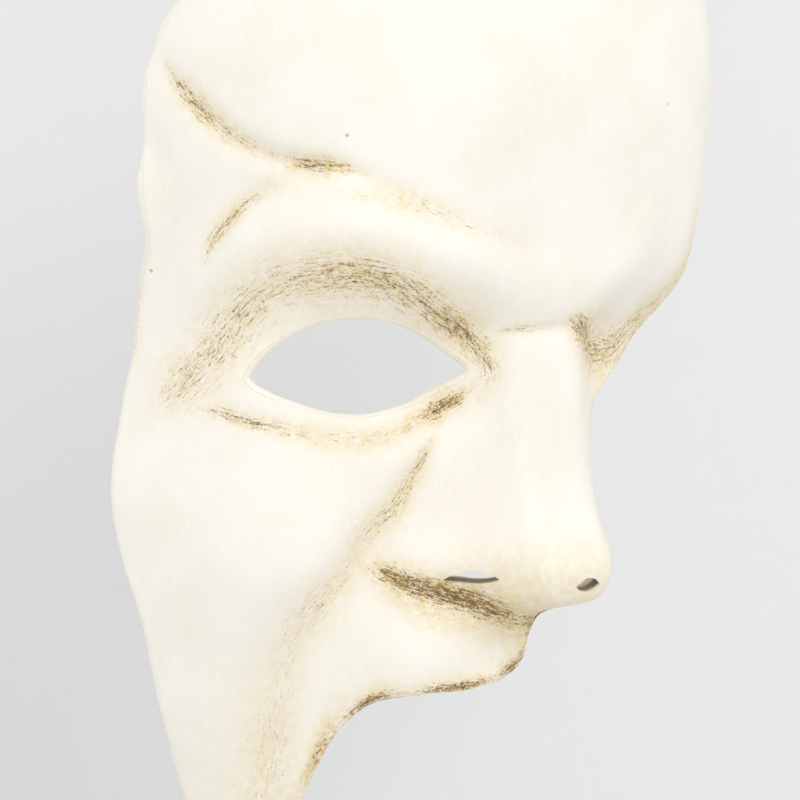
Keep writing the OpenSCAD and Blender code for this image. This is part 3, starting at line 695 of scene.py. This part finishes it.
def build_shell():
    places = flat.reshape(-1, 2)
    marks = patina_attributes(places, np.full(len(places), FAR_FROM_RIM), along_rim.ravel())
    c_marks, c_wash, c_stroke = rim_rub(edge_places.reshape(-1, 2), ring_inset.ravel(), along_rim.ravel())
    marks = dict((name, (kind, values)) for name, kind, values in marks)
    marks["marks_c"] = ("FLOAT", c_marks)
    marks["stroke_c"] = ("FLOAT_VECTOR", c_stroke)
    marks["wash"] = ("FLOAT", 1 - (1 - marks["wash"][1]) * (1 - c_wash.clip(0, 1)))
    attributes = [(name, kind, twice(values)) for name, (kind, values) in marks.items()]
    # Nostril cut walls turn dark: bare paper, and painted shade inside the slots
    raw_and_shade = nostril_wall.ravel()
    attributes.append(("raw_and_shade", "FLOAT", np.concatenate([0 * raw_and_shade, raw_and_shade])))
    points = np.concatenate([layer(0).reshape(-1, 3), layer(SHELL_T).reshape(-1, 3)])
    points, faces, attributes = used_only(points, sheet_faces(kept), attributes)
    add_piece("face_shell", points, faces, ["shell"], paint, attributes, 40)


def torn_strips():
    """Height, tint and torn edge of the paper strips pasted inside, for each grid point."""
    places = flat.reshape(-1, 2)
    height, tint, torn = np.zeros(len(places)), np.full(len(places), 0.5), np.zeros(len(places))
    rng = np.random.default_rng(7)
    for row in range(13):
        for col in range(11):
            middle = np.array([-92 + 17 * col + 8 * (row % 2), 98 - 17 * row]) + rng.uniform(-5, 5, 2)
            turn = rng.uniform(-0.6, 0.6) + (0.9 if (row + col) % 3 == 0 else 0.0)
            half = np.array([rng.uniform(13, 19), rng.uniform(8, 11)])
            shade, seed = rng.uniform(0, 1), rng.uniform(0, 90)
            rel = places - middle
            close = np.nonzero(np.abs(rel).max(1) < 26)[0]
            c, s = math.cos(turn), math.sin(turn)
            q = rel[close] @ np.array([[c, -s], [s, c]])
            ragged = np.array([noise.noise(Vector((x / 3.1, y / 3.1, seed))) * 1.3
                               + noise.noise(Vector((x, y, seed))) * 0.5 for x, y in places[close]])
            depth = np.minimum(half[0] - np.abs(q[:, 0]), half[1] - np.abs(q[:, 1])) + ragged
            on = step_up(depth, -0.1, 0.9)
            laid = 0.1 + 0.5 * height[close] + 0.12 * shade
            height[close] = height[close] * (1 - 0.55 * on) + on * laid
            tint[close] = tint[close] * (1 - on) + on * shade
            torn[close] = torn[close] * (1 - on) + np.exp(-((depth - 0.5) / 0.5) ** 2)
    return height, tint.clip(0, 1), torn.clip(0, 1)


def build_lining():
    height, tint, torn = torn_strips()
    height = (height / height.max()).reshape(n_rays, RINGS + 1)
    fade = step_up(np.minimum(u, 1 - u), 0, 0.03)
    to_wearer = unit(inner - outer)
    low = layer(SHELL_T + GLUE)
    one_strip = 0.22
    pile = (LINING_T - one_strip) * (1 - fade * (1 - height))
    high = layer(SHELL_T + GLUE + one_strip) + to_wearer * pile[..., None]
    points = np.concatenate([low.reshape(-1, 3), high.reshape(-1, 3)])
    attributes = [("tint", "FLOAT", twice(tint)), ("torn", "FLOAT", twice(torn))]
    points, faces, attributes = used_only(points, sheet_faces(kept), attributes)
    add_piece("paper_lining", points, faces, ["lining"], paper, attributes, 40)


# ---- Edging -------------------------------------------------------------------------------


def build_edging(name, node, ring, direction):
    """Rolled paper strip along one cut edge."""
    top = outer[:, ring]
    way_round = np.roll(top, -1, 0) - np.roll(top, 1, 0)
    side = outer[:, ring] - outer[:, ring - 1] if direction > 0 else outer[:, 0] - outer[:, 1]
    down = inner[:, ring] - top
    out = unit(np.cross(way_round, down))
    out = out * np.sign((out * side).sum(-1, keepdims=True))
    lengths = np.cumsum(np.linalg.norm(np.diff(top, axis=0, prepend=top[:1]), axis=1))
    width = EDGE_W * (0.93 + 0.06 * wander(lengths, 5.3, 7) + 0.03 * wander(lengths, 1.9, 2))
    turns = 14
    t = np.linspace(0, np.pi, turns + 1)
    rows = (top[:, None] + down[:, None] * ((1 - np.cos(t)) / 2)[None, :, None]
            + out[:, None] * (GLUE + (width - GLUE)[:, None] * np.sin(t))[..., None])
    m = turns + 1
    j, k = np.meshgrid(np.arange(n_rays), np.arange(m - 1), indexing="ij")
    a, b = (j * m + k).ravel(), ((j + 1) % n_rays * m + k).ravel()
    faces = np.stack([a, b, b + 1, a + 1], -1)
    a, b = np.arange(n_rays) * m, (np.arange(n_rays) + 1) % n_rays * m
    back = np.stack([a, a + m - 1, b + m - 1, b], -1)
    faces = np.concatenate([faces, back])
    if direction > 0:
        faces = faces[:, ::-1]
    places = np.repeat(flat[:, ring][:, None], m, 1).reshape(-1, 2)
    inset = -np.tile(np.sin(t) * EDGE_W, n_rays)
    if direction < 0:
        inset = np.full(len(places), FAR_FROM_RIM)
    marks = patina_attributes(places, inset, np.repeat(edge_length, m))
    under = np.tile(step_up(t, 2.2, 3.1), n_rays)
    marks = [(label, kind, v * (1 - under) if kind == "FLOAT" else v) for label, kind, v in marks]
    add_piece(name, rows.reshape(-1, 3), faces.tolist(), [node], paint, marks, 60)


# ---- Ribbon tabs and eyelets --------------------------------------------------------------


TAB_T = 0.8
TAB_PASTE = 0.5
TAB_H = 16.0
TAB_FREE = 17.0
TAB_LIFT = math.radians(26)
TAB_GLUED = 13.0
GLUE_END = -1.5
HOLE_R = 2.6
FLANGE_R = 4.2
BARREL_R = 2.0
BARREL_WALL = 0.5
FLANGE_T = 0.6
STITCH_EDGE = 1.35
STITCH_STEP = 1.7
STITCH_HALF = 0.58
STITCH_R = 0.17
TABS = {"right": (-1, -69.0, 34.0), "left": (1, 52.0, 47.0)}


def inward(s, z):
    """Unit normal of the face toward the wearer."""
    n = unit(np.cross(face(s + 0.5, z) - face(s - 0.5, z), face(s, z + 0.5) - face(s, z - 0.5)))
    return n * np.sign(n[..., 1:2])


def inside_point(s, z):
    """Point on the bed of paste under a tab."""
    return face(s, z) + inward(s, z) * (FULL_T + TAB_PASTE)


def tab_frame(side):
    """Foot, free direction, direction to the wearer and hole centre of a tab."""
    sign = TABS[side][0]
    s, z = np.array(TABS[side][1]), np.array(TABS[side][2])
    d = face(s + sign / 2, z) - face(s - sign / 2, z)
    to_rim = unit(np.array([d[0], d[1], 0.0]))
    to_wearer = sign * np.array([-to_rim[1], to_rim[0], 0.0])
    way = to_rim * math.cos(TAB_LIFT) + to_wearer * math.sin(TAB_LIFT)
    square = to_wearer * math.cos(TAB_LIFT) - to_rim * math.sin(TAB_LIFT)
    foot = inside_point(s, z)
    return foot, way, square, foot + way * (TAB_FREE - TAB_H / 2 + 0.5)


def build_tab(side):
    sign, s0, z0 = TABS[side]
    foot, way, square, hole = tab_frame(side)
    lengths = np.concatenate([np.linspace(GLUE_END - TAB_GLUED, GLUE_END, 27),
                              np.linspace(-0.6, TAB_FREE, 44)])
    heights = np.linspace(-TAB_H / 2, TAB_H / 2, 41)
    k, h = (v.ravel() for v in np.meshgrid(lengths, heights, indexing="ij"))
    glued_s = s0 + sign * np.minimum(k, GLUE_END)
    loose = step_up(k, GLUE_END, 2.4)[:, None]
    straight = foot + way * k[:, None] + np.array([0, 0, 1.0]) * h[:, None]
    near = inside_point(glued_s, z0 + h) * (1 - loose) + straight * loose
    square_of = unit(inward(glued_s, z0 + h) * (1 - loose) + square * loose)
    thread = np.stack([k, h, 0 * k], -1)
    rows, cols = len(lengths), len(heights)
    # The hole: points near its edge move onto the circle
    rel = near - hole
    a, b = rel @ way, rel[:, 2]
    r = np.hypot(a, b)
    inside = (r < HOLE_R) & (thread[:, 0] > 2)
    cell_gone = np.zeros((rows - 1, cols - 1), bool)
    grid = inside.reshape(rows, cols)
    for di in (0, 1):
        for dj in (0, 1):
            cell_gone |= grid[di:rows - 1 + di, dj:cols - 1 + dj]
    touched = np.zeros((rows, cols), bool)
    for di in (0, 1):
        for dj in (0, 1):
            touched[di:rows - 1 + di, dj:cols - 1 + dj] |= cell_gone
    rim = touched.ravel() & ~inside
    scale = (HOLE_R / r[rim])[:, None]
    near[rim] = hole + way * (a[rim, None] * scale) + np.array([0, 0, 1.0]) * (b[rim, None] * scale)
    far = near + square_of * TAB_T
    # Turned hem: the free end and both long edges are a little thicker
    hem = np.maximum(step_up(np.abs(thread[:, 1]), TAB_H / 2 - 1.6, TAB_H / 2 - 1.1),
                     step_up(thread[:, 0], TAB_FREE - 1.6, TAB_FREE - 1.1))
    thin = (1 - hem)[:, None] * 0.07
    paste = (TAB_PASTE - 0.1) * (1 - loose)
    cover = near + square_of * (thin - paste)
    top = far - square_of * thin
    keep = ~cell_gone
    i, j = np.nonzero(keep)
    p = i * cols + j
    total = rows * cols
    under = np.stack([p, p + 1, p + cols + 1, p + cols], -1)
    over = under[:, ::-1] + total
    walls = []
    for shift, e0, e1 in (((0, 1), p + cols + 1, p + 1), ((0, -1), p, p + cols),
                          ((1, 0), p + cols, p + cols + 1), ((-1, 0), p + 1, p)):
        ii, jj = i + shift[0], j + shift[1]
        out = (ii < 0) | (jj < 0) | (ii >= rows - 1) | (jj >= cols - 1)
        bare = out | ~keep[np.clip(ii, 0, rows - 2), np.clip(jj, 0, cols - 2)]
        walls.append(np.stack([e0[bare], e1[bare], e1[bare] + total, e0[bare] + total], -1))
    faces = np.concatenate([under, over, *walls])
    if sign < 0:
        faces = faces[:, ::-1]
    attributes = [("thread", "FLOAT_VECTOR", twice(thread)), ("stitch", "FLOAT", twice(0 * k))]
    points = np.concatenate([cover, top])
    points, faces, attributes = used_only(points, faces, attributes)
    stitches, stitch_faces = tab_stitches(side, len(points))
    thread_all = np.concatenate([np.asarray(attributes[0][2]), stitches * 0.7])
    stitch_all = np.concatenate([np.asarray(attributes[1][2]), np.ones(len(stitches))])
    add_piece("ribbon_tab_" + side, np.concatenate([points, stitches]), faces + stitch_faces,
              ["tab_" + side], cloth,
              [("thread", "FLOAT_VECTOR", thread_all), ("stitch", "FLOAT", stitch_all)], 50)


def tab_stitches(side, first):
    """Thread stitches along the free end's hem, on both faces of a tab."""
    foot, way, square, _ = tab_frame(side)
    up = np.array([0, 0, 1.0])
    side_row = TAB_H / 2 - STITCH_EDGE
    end_row = TAB_FREE - STITCH_EDGE
    runs = [((3.0, side_row), (end_row, side_row)), ((end_row, side_row), (end_row, -side_row)),
            ((end_row, -side_row), (3.0, -side_row))]
    points, faces = [], []
    for start_at, end_at in runs:
        a, b = np.array(start_at), np.array(end_at)
        length = np.linalg.norm(b - a)
        count = int(length // STITCH_STEP)
        d = (b - a) / length
        for k in range(count):
            middle = a + d * (length * (k + 0.5) / count)
            for depth, out in ((-0.02, -1), (TAB_T + 0.02, 1)):
                centre = foot + way * middle[0] + up * middle[1] + square * depth
                along = way * d[0] + up * d[1]
                across = np.cross(along, square)
                base = first + len(points)
                for x in np.linspace(-1, 1, 7):
                    r = STITCH_R * math.sqrt(max(1 - x**4, 0.02))
                    lift = out * (0.05 - 0.1 * x * x)
                    for q in range(8):
                        c, s = math.cos(q * math.pi / 4), math.sin(q * math.pi / 4)
                        points.append(centre + along * x * STITCH_HALF + across * r * c
                                      + square * (r * s + lift))
                for x in range(6):
                    for q in range(8):
                        p0, p1 = base + x * 8 + q, base + x * 8 + (q + 1) % 8
                        faces.append([p0, p1, p1 + 8, p0 + 8])
                faces.append([base + q for q in range(7, -1, -1)])
                faces.append([base + 48 + q for q in range(8)])
    return np.array(points), faces


def lathe(name, side, profile, node, turns=72, petals=0):
    """Turned metal piece round an eyelet's hole: profile of (radius, distance toward the wearer)."""
    _, way, square, hole = tab_frame(side)
    up = np.cross(square, way)
    points, faces = [], []
    m = len(profile)
    for k in range(turns):
        t = 2 * math.pi * k / turns
        for r, h in profile:
            notch = 0.0
            if petals and r > BARREL_R + BARREL_WALL:
                share_out = (r - BARREL_R - BARREL_WALL) / (FLANGE_R - BARREL_R - BARREL_WALL)
                notch = 0.16 * share_out * max(math.cos(t * petals), 0) ** 6
            ray = way * math.cos(t) + up * math.sin(t)
            points.append(hole + ray * (r - notch) + square * h)
    for k in range(turns):
        for q in range(m):
            a, b = k * m + q, (k + 1) % turns * m + q
            a2, b2 = k * m + (q + 1) % m, (k + 1) % turns * m + (q + 1) % m
            faces.append([a, b, b2, a2])
    add_piece(name, points, faces, [node], metal, (), 0)


def arc(cx, cy, r, first, last, steps):
    return [(cx + r * math.cos(math.radians(first + (last - first) * k / steps)),
             cy + r * math.sin(math.radians(first + (last - first) * k / steps))) for k in range(steps + 1)]


def build_eyelet(side):
    r0, r1 = BARREL_R, BARREL_R + BARREL_WALL
    low = -GLUE - FLANGE_T
    barrel_end = TAB_T + FLANGE_T + GLUE
    edge = FLANGE_R - FLANGE_T / 2
    profile = ([(r0, barrel_end - 0.12)] + arc(r0 + 0.25, barrel_end - 0.25, 0.25, 150, 30, 5)
               + [(r1, 1.0), (r1, -GLUE)] + [(edge - 0.5, -GLUE)]
               + arc(edge, low + FLANGE_T / 2, FLANGE_T / 2, 80, -80, 8)
               + [(edge - 0.45, low + 0.07), (r1 + 0.5, low + 0.02)]
               + arc(r0 + 0.5, low + 0.5, 0.5, 270, 190, 6))
    lathe("ribbon_eyelet_" + side, side, profile, "eyelet_" + side)


def build_washer(side):
    r1 = HOLE_R
    base = TAB_T + GLUE
    edge = FLANGE_R - FLANGE_T / 2
    profile = ([(r1, base), (edge - 0.3, base)]
               + arc(edge, base + FLANGE_T / 2, FLANGE_T / 2, -90, 90, 9)
               + [(edge - 0.5, base + FLANGE_T - 0.1), (r1 + 0.45, base + FLANGE_T - 0.04)]
               + arc(r1 + 0.2, base + FLANGE_T - 0.2, 0.2, 80, 180, 4))
    lathe("eyelet_washer_" + side, side, profile, "washer_" + side, petals=6)


build_shell()
build_lining()
build_edging("rim_edging_strip", "rim_edging", RINGS, 1)
build_edging("eye_edging_strip", "eye_edging", 0, -1)
for side in ("right", "left"):
    build_tab(side)
    build_eyelet(side)
    build_washer(side)

# ---- Floor, wall, light and camera --------------------------------------------------------

PHOTO_TURN = math.radians(36)
PHOTO_TILT = math.radians(5)
CAMERA_AWAY = 1.1
CAMERA_LENS = 252
CAMERA_SENSOR = 36
AIM_BACK = 0.025
AIM_LEFT = 0.020
AIM_DOWN = 0.0059
FLOOR_DROP = 0.05
WALL_GAP = 0.12
to_camera = Vector((-math.sin(PHOTO_TURN) * math.cos(PHOTO_TILT),
                    -math.cos(PHOTO_TURN) * math.cos(PHOTO_TILT), math.sin(PHOTO_TILT)))
level = Vector((-math.sin(PHOTO_TURN), -math.cos(PHOTO_TURN), 0))
right = Vector((math.cos(PHOTO_TURN), -math.sin(PHOTO_TURN), 0))


def stage_material(name, colour, one_sided=False):
    n = Nodes(name)
    place = n.add("ShaderNodeTexCoord").outputs["Object"]
    tone = n.mix(n.noise(place, 3.0, 2, 0.5), colour, tuple(0.97 * c for c in colour[:3]) + (1.0,))
    n.plug(Base_Color=tone, Roughness=0.9, Specular_IOR_Level=0.1)
    if one_sided:
        clear = n.add("ShaderNodeBsdfTransparent").outputs[0]
        back = n.add("ShaderNodeNewGeometry").outputs["Backfacing"]
        mixed = n.add("ShaderNodeMixShader", {0: back, 1: n.shader.outputs[0], 2: clear})
        out = n.tree.nodes["Material Output"]
        n.tree.links.new(mixed.outputs[0], out.inputs["Surface"])
    return n.material


def stage_plane(name, centre, along, up, width, height, material):
    corners = [centre - along * width / 2 - up * height / 2, centre + along * width / 2 - up * height / 2,
               centre + along * width / 2 + up * height / 2, centre - along * width / 2 + up * height / 2]
    mesh = bpy.data.meshes.new(name)
    mesh.from_pydata([tuple(c) for c in corners], [], [(0, 1, 2, 3)])
    mesh.materials.append(material)
    plane = bpy.data.objects.new(name, mesh)
    bpy.context.collection.objects.link(plane)


floor_z = cad_box[0].z - FLOOR_DROP
wall_at = Vector((0, 0, 0)) - level * WALL_GAP
stage_plane("floor", Vector((0, 0, floor_z)), Vector((1, 0, 0)), Vector((0, 1, 0)), 8, 8,
            stage_material("pale_floor", rgb(0.8, 0.8, 0.805)))
stage_plane("wall", wall_at + Vector((0, 0, floor_z + 1.5)), right, Vector((0, 0, 1)), 4, 3,
            stage_material("pale_wall", rgb(0.815, 0.815, 0.818), one_sided=True))


def area_light(name, azimuth, elevation, distance, size, power, colour=(1, 1, 1)):
    a, e = math.radians(azimuth), math.radians(elevation)
    away = Vector((math.sin(a) * math.cos(e), -math.cos(a) * math.cos(e), math.sin(e)))
    data = bpy.data.lights.new(name, "AREA")
    data.shape = "DISK"
    data.size = size
    data.energy = power
    data.color = colour
    lamp = bpy.data.objects.new(name, data)
    lamp.location = away * distance
    lamp.rotation_mode = "QUATERNION"
    lamp.rotation_quaternion = away.to_track_quat("Z", "Y")
    bpy.context.collection.objects.link(lamp)


area_light("key", -2, 34, 1.6, 1.1, 7.8, (1.0, 0.995, 0.98))
area_light("fill", -95, 10, 1.8, 1.4, 4.4)
area_light("back_fill", 150, 35, 1.8, 1.4, 5.0)

world = bpy.data.worlds.new("studio")
world.use_nodes = True
world.node_tree.nodes["Background"].inputs["Color"].default_value = rgb(0.97, 0.98, 1.0)
world.node_tree.nodes["Background"].inputs["Strength"].default_value = 0.85
bpy.context.scene.world = world
bpy.context.scene.view_settings.view_transform = "Standard"

aim = Vector((0, -AIM_BACK, 0)) - right * AIM_LEFT - to_camera.cross(right) * AIM_DOWN
camera_data = bpy.data.cameras.new("camera")
camera_data.sensor_width = CAMERA_SENSOR
camera_data.lens = CAMERA_LENS
camera = bpy.data.objects.new("camera", camera_data)
camera.location = aim + to_camera * CAMERA_AWAY
camera.rotation_mode = "QUATERNION"
camera.rotation_quaternion = to_camera.to_track_quat("Z", "Y")
bpy.context.collection.objects.link(camera)
bpy.context.scene.camera = camera
